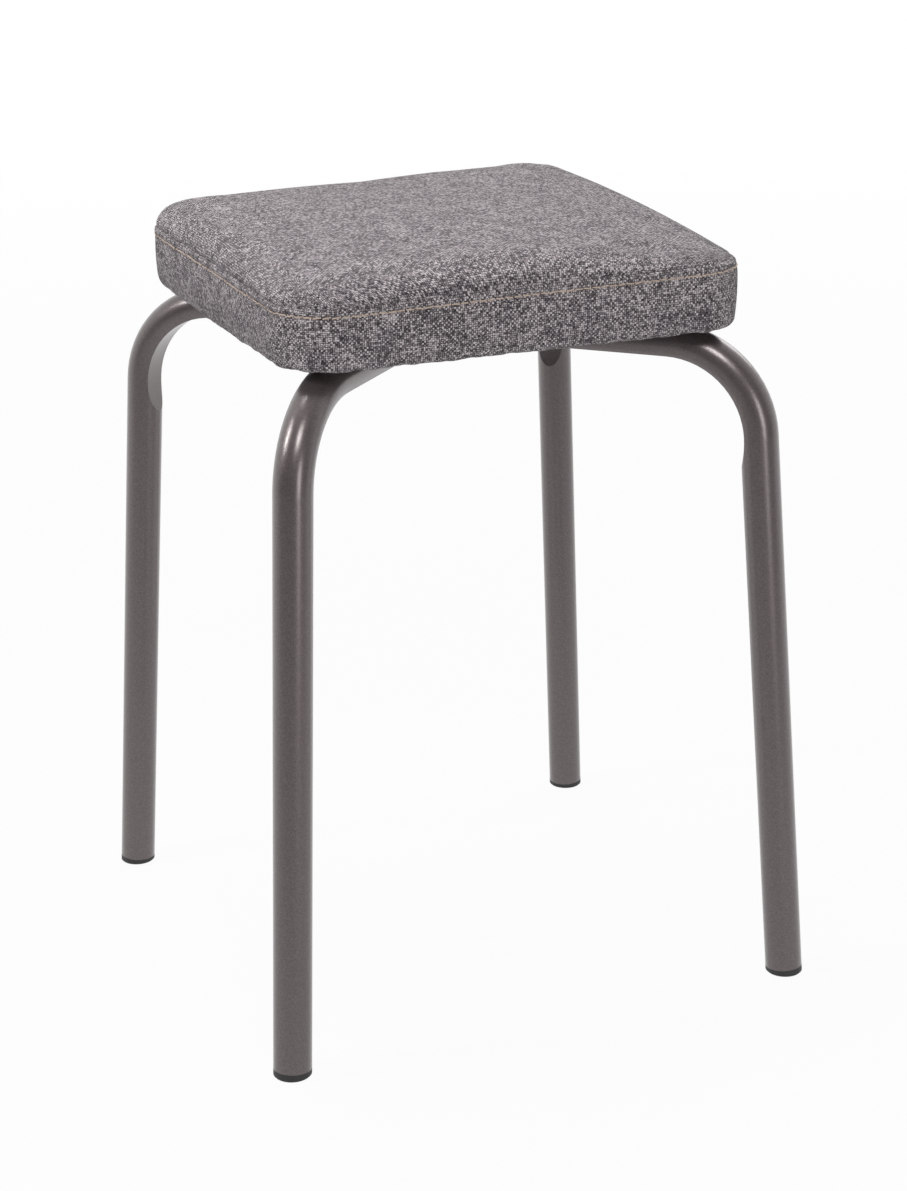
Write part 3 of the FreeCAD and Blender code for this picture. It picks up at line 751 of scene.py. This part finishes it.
def join_growing_side(maker, inner, outer, side):
    """Join one side of a ring to the next larger ring of a square grid."""
    start_in = side * (len(inner) // 4)
    start_out = side * (len(outer) // 4)
    before_out = (start_out - 1) % len(outer)
    after_out = (start_out + 1) % len(outer)
    maker.faces.new((inner[start_in], outer[before_out], outer[start_out], outer[after_out]))
    for step in range(len(inner) // 4):
        low_in = (start_in + step) % len(inner)
        high_in = (start_in + step + 1) % len(inner)
        low_out = (start_out + step + 1) % len(outer)
        high_out = (start_out + step + 2) % len(outer)
        maker.faces.new((inner[low_in], outer[low_out], outer[high_out], inner[high_in]))


def write_flat_pattern(stack):
    """Lay the cloth flat in a UV map: the top by its own plan, the band by its length."""
    uv_layer = stack.maker.loops.layers.uv.new("cloth_flat")
    side_length = 2 * (SEAT_HALF - CORNER_RADIUS) + CORNER_RADIUS * math.pi / 2
    for face in stack.maker.faces:
        heights = [loop.vert[stack.height_mark] for loop in face.loops]
        on_band = 2 * BAND_LEAST < max(heights) < SEAM_LEVEL + 0.5 * MILLIMETRE
        shares = [loop.vert[stack.around_mark] for loop in face.loops]
        wraps = on_band and max(shares) - min(shares) > 2
        for loop in face.loops:
            if on_band:
                share = loop.vert[stack.around_mark]
                if wraps and share < 1:
                    share += 4
                down = BAND_OFFSET - stack.laid[loop.vert]
                loop[uv_layer].uv = (share * side_length, down)
            else:
                loop[uv_layer].uv = stack.flats[loop.vert]


def build_cushion():
    """Build the cushion as one closed form of square rings, with its flat pattern."""
    stack = RingStack()
    top_middle = add_top(stack)
    edge_step = add_rolled_edge(stack)
    lowest = add_side(stack, edge_step)
    add_under_edge(stack, lowest)
    add_hem(stack)
    recess_middle = add_recess(stack)
    maker = stack.maker
    close_square(maker, top_middle, stack.rings[0])
    bridge_rings(maker, stack.rings)
    close_square(maker, recess_middle, stack.rings[-1])
    bmesh.ops.recalc_face_normals(maker, faces=maker.faces)
    write_flat_pattern(stack)
    mesh = bpy.data.meshes.new("seat_cushion")
    maker.to_mesh(mesh)
    maker.free()
    cushion = bpy.data.objects.new("seat_cushion", mesh)
    bpy.context.collection.objects.link(cushion)
    return cushion


def read_mark(mesh, name):
    """Read one mark of every vertex."""
    values = np.zeros(len(mesh.vertices))
    mesh.attributes[name].data.foreach_get("value", values)
    return values


def read_vectors(mesh, name):
    """Read every vertex's place (co) or normal, one row each."""
    values = np.zeros(len(mesh.vertices) * 3)
    mesh.vertices.foreach_get(name, values)
    return values.reshape(-1, 3)


def puff_with_cloth(cushion):
    """Blow the cover out a little with the cloth solver, and cap how far it moves."""
    rest = np.array([vertex.co[:] for vertex in cushion.data.vertices])
    held = cushion.vertex_groups.new(name="held_by_board")
    for index, height in enumerate(read_mark(cushion.data, HEIGHT_MARK)):
        if height < HELD_BELOW:
            held.add([index], 1.0, "REPLACE")
        elif abs(height - SEAM_LEVEL) < SEAM_GRIP_WIDTH:
            held.add([index], SEAM_GRIP, "REPLACE")
    cloth = cushion.modifiers.new("cover_cloth", "CLOTH")
    settings = cloth.settings
    settings.quality = 5
    settings.mass = 0.3
    settings.tension_stiffness = 25
    settings.compression_stiffness = 25
    settings.shear_stiffness = 12
    settings.bending_stiffness = 3
    settings.use_pressure = True
    settings.uniform_pressure_force = 4
    settings.effector_weights.gravity = 0
    settings.vertex_group_mass = held.name
    cloth.collision_settings.use_collision = False
    cloth.point_cache.frame_start = 1
    cloth.point_cache.frame_end = CLOTH_FRAMES
    for number in range(1, CLOTH_FRAMES + 1):
        scene.frame_set(number)
    evaluated = cushion.evaluated_get(bpy.context.evaluated_depsgraph_get())
    moved = np.array([vertex.co[:] for vertex in evaluated.data.vertices])
    cushion.modifiers.remove(cloth)
    scene.frame_set(1)
    shift = moved - rest
    length = np.linalg.norm(shift, axis=1)
    scale = np.where(length > CLOTH_CAP, CLOTH_CAP / np.maximum(length, 1e-9), 1.0)
    settled = rest + shift * scale[:, None]
    cushion.data.vertices.foreach_set("co", settled.ravel())
    cushion.data.update()


def to_plain_mesh(piece):
    """Turn what a piece's modifiers make into its own mesh."""
    graph = bpy.context.evaluated_depsgraph_get()
    made = bpy.data.meshes.new_from_object(
        piece.evaluated_get(graph), preserve_all_data_layers=True, depsgraph=graph
    )
    piece.modifiers.clear()
    old = piece.data
    piece.data = made
    made.name = piece.name
    bpy.data.meshes.remove(old)


def subdivide_once(piece):
    """Make a piece's mesh once finer and smoother."""
    modifier = piece.modifiers.new("finer", "SUBSURF")
    modifier.levels = 1
    modifier.render_levels = 1
    to_plain_mesh(piece)


def ripple(position, wavelength, start):
    """A smooth uneven wave from three sines, from about -1 to 1."""
    turn = 2 * math.pi * position / wavelength
    wave = np.sin(turn + start)
    wave = wave + 0.6 * np.sin(turn * 1.73 + 2.1 * start)
    wave = wave + 0.4 * np.sin(turn * 2.91 + 3.7 * start)
    return wave / 2


def swell(heights, level, width):
    """A smooth swell of 0 to 1 about one level."""
    return np.exp(-((heights - level) / width) ** 2)


def press_seams(cushion):
    """Draw the cloth in at the seam and the topstitch, and let the hem's edge waver."""
    mesh = cushion.data
    heights = read_mark(mesh, HEIGHT_MARK)
    run = read_mark(mesh, AROUND_MARK) * (2 * SEAT_HALF)
    places = read_vectors(mesh, "co")
    normals = read_vectors(mesh, "normal")
    on_side = (heights > 0.0) & (heights < TOP_MARK_LEAST)
    seam = swell(heights, SEAM_LEVEL, SEAM_WIDTH)
    stitch = swell(heights, STITCH_LEVEL, STITCH_WIDTH)
    strip = swell(heights, (SEAM_LEVEL + STITCH_LEVEL) / 2, STRIP_WIDTH)
    pucker = 0.75 + 0.25 * ripple(run, PUCKER_LENGTH, 1.3)
    depth = -SEAM_DEPTH * seam - STITCH_DEPTH * stitch * pucker + STRIP_RISE * strip
    depth += SIDE_SWAY * ripple(run, SIDE_SWAY_LENGTH, 0.7)
    places += normals * np.where(on_side, depth, 0)[:, None]
    under = swell(heights, 0, HEM_WAVE_REACH) * (heights > 0)
    places[:, 2] += HEM_WAVE * under * (1 + ripple(run, HEM_WAVE_LENGTH, 2.9))
    mesh.vertices.foreach_set("co", places.ravel())
    mesh.update()


def make_cushion():
    """Make the seat cushion, which stands for the cover and the foam."""
    cushion = build_cushion()
    puff_with_cloth(cushion)
    subdivide_once(cushion)
    press_seams(cushion)
    for polygon in cushion.data.polygons:
        polygon.use_smooth = True
    cushion.data.materials.clear()
    cushion.data.materials.append(woven_cloth())
    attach(cushion, "root")
    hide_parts("cover_top_panel", "cover_side_band", "foam_pad")
    return cushion


# Stitches and staples

def group_input(tree, name, kind):
    """Add a named input to a node group, and return its identifier."""
    socket = tree.interface.new_socket(name=name, in_out="INPUT", socket_type=kind)
    return socket.identifier


def short_length(tree, start):
    """A straight round length along X, centred, with the group's Length and Radius."""
    base = add_node(tree, "GeometryNodeCurvePrimitiveLine")
    for end, share in (("Start", -0.5), ("End", 0.5)):
        reach = math_node(tree, "MULTIPLY", start.outputs["Length"], share)
        place = add_node(tree, "ShaderNodeCombineXYZ")
        tree.links.new(reach, place.inputs["X"])
        tree.links.new(place.outputs[0], base.inputs[end])
    section = add_node(tree, "GeometryNodeCurvePrimitiveCircle", Resolution=6)
    tree.links.new(start.outputs["Radius"], section.inputs["Radius"])
    body = add_node(tree, "GeometryNodeCurveToMesh")
    body.inputs["Fill Caps"].default_value = True
    tree.links.new(base.outputs["Curve"], body.inputs["Curve"])
    tree.links.new(section.outputs["Curve"], body.inputs["Profile Curve"])
    return body.outputs["Mesh"]


def uneven_turn(tree, start):
    """The line's own direction, turned a little by chance at each length."""
    tangent = add_node(tree, "GeometryNodeInputTangent")
    align = add_node(tree, "FunctionNodeAlignEulerToVector", axis="X")
    tree.links.new(tangent.outputs["Tangent"], align.inputs["Vector"])
    chance = add_node(tree, "FunctionNodeRandomValue", data_type="FLOAT_VECTOR", Seed=5)
    chance.inputs[0].default_value = (-1, -1, -1)
    chance.inputs[1].default_value = (1, 1, 1)
    sway = add_node(tree, "ShaderNodeVectorMath", operation="SCALE")
    tree.links.new(chance.outputs[0], sway.inputs[0])
    tree.links.new(start.outputs["Unevenness"], sway.inputs["Scale"])
    turn = add_node(tree, "FunctionNodeRotateEuler")
    tree.links.new(align.outputs["Rotation"], turn.inputs["Rotation"])
    tree.links.new(sway.outputs[0], turn.inputs["Rotate By"])
    return turn.outputs["Rotation"]


def row_tree(name, material, sizes):
    """Place one short length of thread or wire at each step along a line."""
    tree = bpy.data.node_groups.new(name, "GeometryNodeTree")
    group_input(tree, "Line", "NodeSocketGeometry")
    tree.interface.new_socket(name="Row", in_out="OUTPUT", socket_type="NodeSocketGeometry")
    sockets = {size: group_input(tree, size, "NodeSocketFloat") for size in sizes}
    start = add_node(tree, "NodeGroupInput")
    to_curve = add_node(tree, "GeometryNodeMeshToCurve")
    tree.links.new(start.outputs["Line"], to_curve.inputs["Mesh"])
    steps = add_node(tree, "GeometryNodeResampleCurve", mode="LENGTH")
    tree.links.new(to_curve.outputs["Curve"], steps.inputs["Curve"])
    tree.links.new(start.outputs["Pitch"], steps.inputs["Length"])
    instance = add_node(tree, "GeometryNodeInstanceOnPoints")
    tree.links.new(steps.outputs["Curve"], instance.inputs["Points"])
    tree.links.new(short_length(tree, start), instance.inputs["Instance"])
    tree.links.new(uneven_turn(tree, start), instance.inputs["Rotation"])
    realize = add_node(tree, "GeometryNodeRealizeInstances")
    tree.links.new(instance.outputs["Instances"], realize.inputs["Geometry"])
    finish = add_node(tree, "GeometryNodeSetMaterial", Material=material)
    tree.links.new(realize.outputs["Geometry"], finish.inputs["Geometry"])
    end = add_node(tree, "NodeGroupOutput")
    tree.links.new(finish.outputs["Geometry"], end.inputs["Row"])
    return tree, sockets


def make_row(name, line, material, sizes):
    """Lay a row of equal lengths of thread or wire along a line."""
    row = bpy.data.objects.new(name, line)
    bpy.context.collection.objects.link(row)
    tree, sockets = row_tree(name, material, sizes)
    modifier = row.modifiers.new(name, "NODES")
    modifier.node_group = tree
    for size, value in sizes.items():
        modifier[sockets[size]] = value
    to_plain_mesh(row)
    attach(row, "root")


def sewing_line(cushion, level, lift):
    """Trace the cushion's own surface at one level of the band."""
    mesh = cushion.data
    heights = read_mark(mesh, HEIGHT_MARK)
    around = read_mark(mesh, AROUND_MARK)
    nearest = heights[np.argmin(np.abs(heights - level))]
    row = np.where(np.abs(heights - nearest) < 1e-6)[0]
    row = row[np.argsort(around[row])]
    points = []
    for index in row:
        vertex = mesh.vertices[int(index)]
        points.append(vertex.co + vertex.normal * lift)
    line = bpy.data.meshes.new("sewing_line")
    edges = [(index, (index + 1) % len(points)) for index in range(len(points))]
    line.from_pydata(points, edges, [])
    return line


def make_topstitch(cushion):
    """Sew the pale line round the side, just below the seam."""
    line = sewing_line(cushion, STITCH_LEVEL, THREAD_LIFT)
    make_row("topstitch_thread", line, sewing_thread(), THREAD)


def make_staples(steel):
    """Staple the hem to the board, one straight row beside each edge of the lining."""
    points = []
    for side in range(4):
        for end in (-STAPLE_RUN, STAPLE_RUN):
            turn = Matrix.Rotation(side * math.pi / 2, 3, "Z")
            place = turn @ Vector((STAPLE_LINE, end, 0))
            points.append((place.x, place.y, SEAT_UNDERSIDE - STAPLE_STAND))
    line = bpy.data.meshes.new("staple_line")
    line.from_pydata(points, [(2 * side, 2 * side + 1) for side in range(4)], [])
    make_row("hem_staples", line, steel, STAPLE)


# Stage, light and camera

def make_camera():
    """Stand the camera where the photograph was taken from."""
    bearing = math.radians(CAMERA_BEARING)
    fall = math.radians(CAMERA_FALL)
    back = Vector((
        math.sin(bearing) * math.cos(fall),
        -math.cos(bearing) * math.cos(fall),
        math.sin(fall),
    ))
    right = Vector((math.cos(bearing), math.sin(bearing), 0))
    up = back.cross(right)
    roll = math.radians(CAMERA_ROLL)
    rolled_right = right * math.cos(roll) - up * math.sin(roll)
    rolled_up = up * math.cos(roll) + right * math.sin(roll)
    data = bpy.data.cameras.new("photo_camera")
    data.sensor_width = SENSOR_MILLIMETRES
    data.lens = FOCAL_PIXELS / PICTURE_HEIGHT * SENSOR_MILLIMETRES
    data.clip_start = 0.05
    data.clip_end = 50
    camera = bpy.data.objects.new("photo_camera", data)
    turn = Matrix((rolled_right, rolled_up, back)).transposed()
    camera.matrix_world = Matrix.Translation(CAMERA_PLACE) @ turn.to_4x4()
    bpy.context.collection.objects.link(camera)
    scene.camera = camera


def backdrop_share(tree, place, near, far):
    """Fade from the dim studio on the camera's side to the white backdrop behind.

    near and far are where the fade starts and ends, along the way the camera looks.
    """
    bearing = math.radians(CAMERA_BEARING)
    along = add_node(tree, "ShaderNodeVectorMath", operation="DOT_PRODUCT")
    tree.links.new(place, along.inputs[0])
    along.inputs[1].default_value = (-math.sin(bearing), math.cos(bearing), 0)
    fade = add_node(tree, "ShaderNodeMapRange", interpolation_type="SMOOTHSTEP")
    set_inputs(fade, {"From Min": near, "From Max": far, "To Min": STUDIO_DIM})
    tree.links.new(along.outputs["Value"], fade.inputs["Value"])
    return fade.outputs["Result"]


def seen_white(tree, backdrop):
    """Share of white: all of it straight from the camera, the backdrop's in reflections."""
    path = add_node(tree, "ShaderNodeLightPath")
    glossy = path.outputs["Is Glossy Ray"]
    mirrored = math_node(tree, "MAXIMUM", glossy, path.outputs["Is Transmission Ray"])
    mirrored = math_node(tree, "MULTIPLY", mirrored, backdrop)
    return math_node(tree, "MAXIMUM", path.outputs["Is Camera Ray"], mirrored)


def floor_glow(tree, place):
    """Share of glow in the floor's white, from FLOOR_GLOW near the stool to all of it."""
    distance = add_node(tree, "ShaderNodeVectorMath", operation="LENGTH")
    tree.links.new(place, distance.inputs[0])
    share = add_node(tree, "ShaderNodeMapRange")
    set_inputs(share, {"From Min": GLOW_NEAR, "From Max": GLOW_FAR, "To Min": FLOOR_GLOW})
    tree.links.new(distance.outputs["Value"], share.inputs["Value"])
    return share.outputs["Result"]


def make_floor():
    """A wide pale floor that reads as white to the camera but keeps the shadow."""
    mesh = bpy.data.meshes.new("studio_floor")
    corners = [(FLOOR_HALF * x, FLOOR_HALF * y, 0) for x, y in CORNERS]
    mesh.from_pydata(corners, [], [(0, 1, 2, 3)])
    floor = bpy.data.objects.new("studio_floor", mesh)
    bpy.context.collection.objects.link(floor)
    material, tree, shader = new_material("pale_floor")
    set_inputs(shader, {"Base Color": (0.6, 0.6, 0.6, 1), "Roughness": 0.9})
    glow = add_node(tree, "ShaderNodeEmission", Color=(1, 1, 1, 1))
    place = object_place(tree)
    seen = seen_white(tree, backdrop_share(tree, place, near=-0.9, far=0.1))
    glow_share = math_node(tree, "MULTIPLY", seen, floor_glow(tree, place))
    blend = add_node(tree, "ShaderNodeMixShader")
    tree.links.new(glow_share, blend.inputs["Fac"])
    tree.links.new(shader.outputs[0], blend.inputs[1])
    tree.links.new(glow.outputs[0], blend.inputs[2])
    tree.links.new(blend.outputs[0], tree.nodes["Material Output"].inputs["Surface"])
    mesh.materials.append(material)


def make_world():
    """White all round to the camera, and a soft even light on the stool."""
    world = bpy.data.worlds.new("studio_world")
    scene.world = world
    world.use_nodes = True
    tree = world.node_tree
    background = tree.nodes["Background"]
    place = add_node(tree, "ShaderNodeTexCoord").outputs["Generated"]
    seen = seen_white(tree, backdrop_share(tree, place, near=-0.6, far=0.3))
    background.inputs["Color"].default_value = (1, 1, 1, 1)
    tree.links.new(scaled(tree, seen, 1 - FILL, FILL), background.inputs["Strength"])


def add_lamp(name, place, size, watts):
    """Add a soft lamp that points at the stool and is not itself seen."""
    data = bpy.data.lights.new(name, "AREA")
    data.shape = "RECTANGLE"
    data.size, data.size_y = size
    data.energy = watts
    lamp = bpy.data.objects.new(name, data)
    lamp.visible_camera = False
    lamp.location = place
    lamp.rotation_mode = "QUATERNION"
    lamp.rotation_quaternion = (Vector(LIT_POINT) - Vector(place)).to_track_quat("-Z", "Y")
    bpy.context.collection.objects.link(lamp)


def lamp_place(turn, rise):
    """Place a lamp by its angles to the right of the camera and above the floor."""
    bearing = math.radians(CAMERA_BEARING + turn)
    rise = math.radians(rise)
    return (
        LAMP_DISTANCE * math.sin(bearing) * math.cos(rise),
        -LAMP_DISTANCE * math.cos(bearing) * math.cos(rise),
        LIT_POINT[2] + LAMP_DISTANCE * math.sin(rise),
    )


def make_lights():
    """Hang one lamp overhead and stand the others round the stool."""
    add_lamp("overhead_softbox", OVERHEAD_PLACE, OVERHEAD_SIZE, OVERHEAD_WATTS)
    for name, turn, rise, size, watts in LAMPS:
        add_lamp(name, lamp_place(turn, rise), size, watts)


scene = bpy.context.scene
scene.view_settings.view_transform = "Standard"
make_camera()
make_floor()
make_world()
make_lights()
zinc_steel = plated_steel()
paint_cad_nodes(zinc_steel)
cushion = make_cushion()
make_topstitch(cushion)
make_staples(zinc_steel)
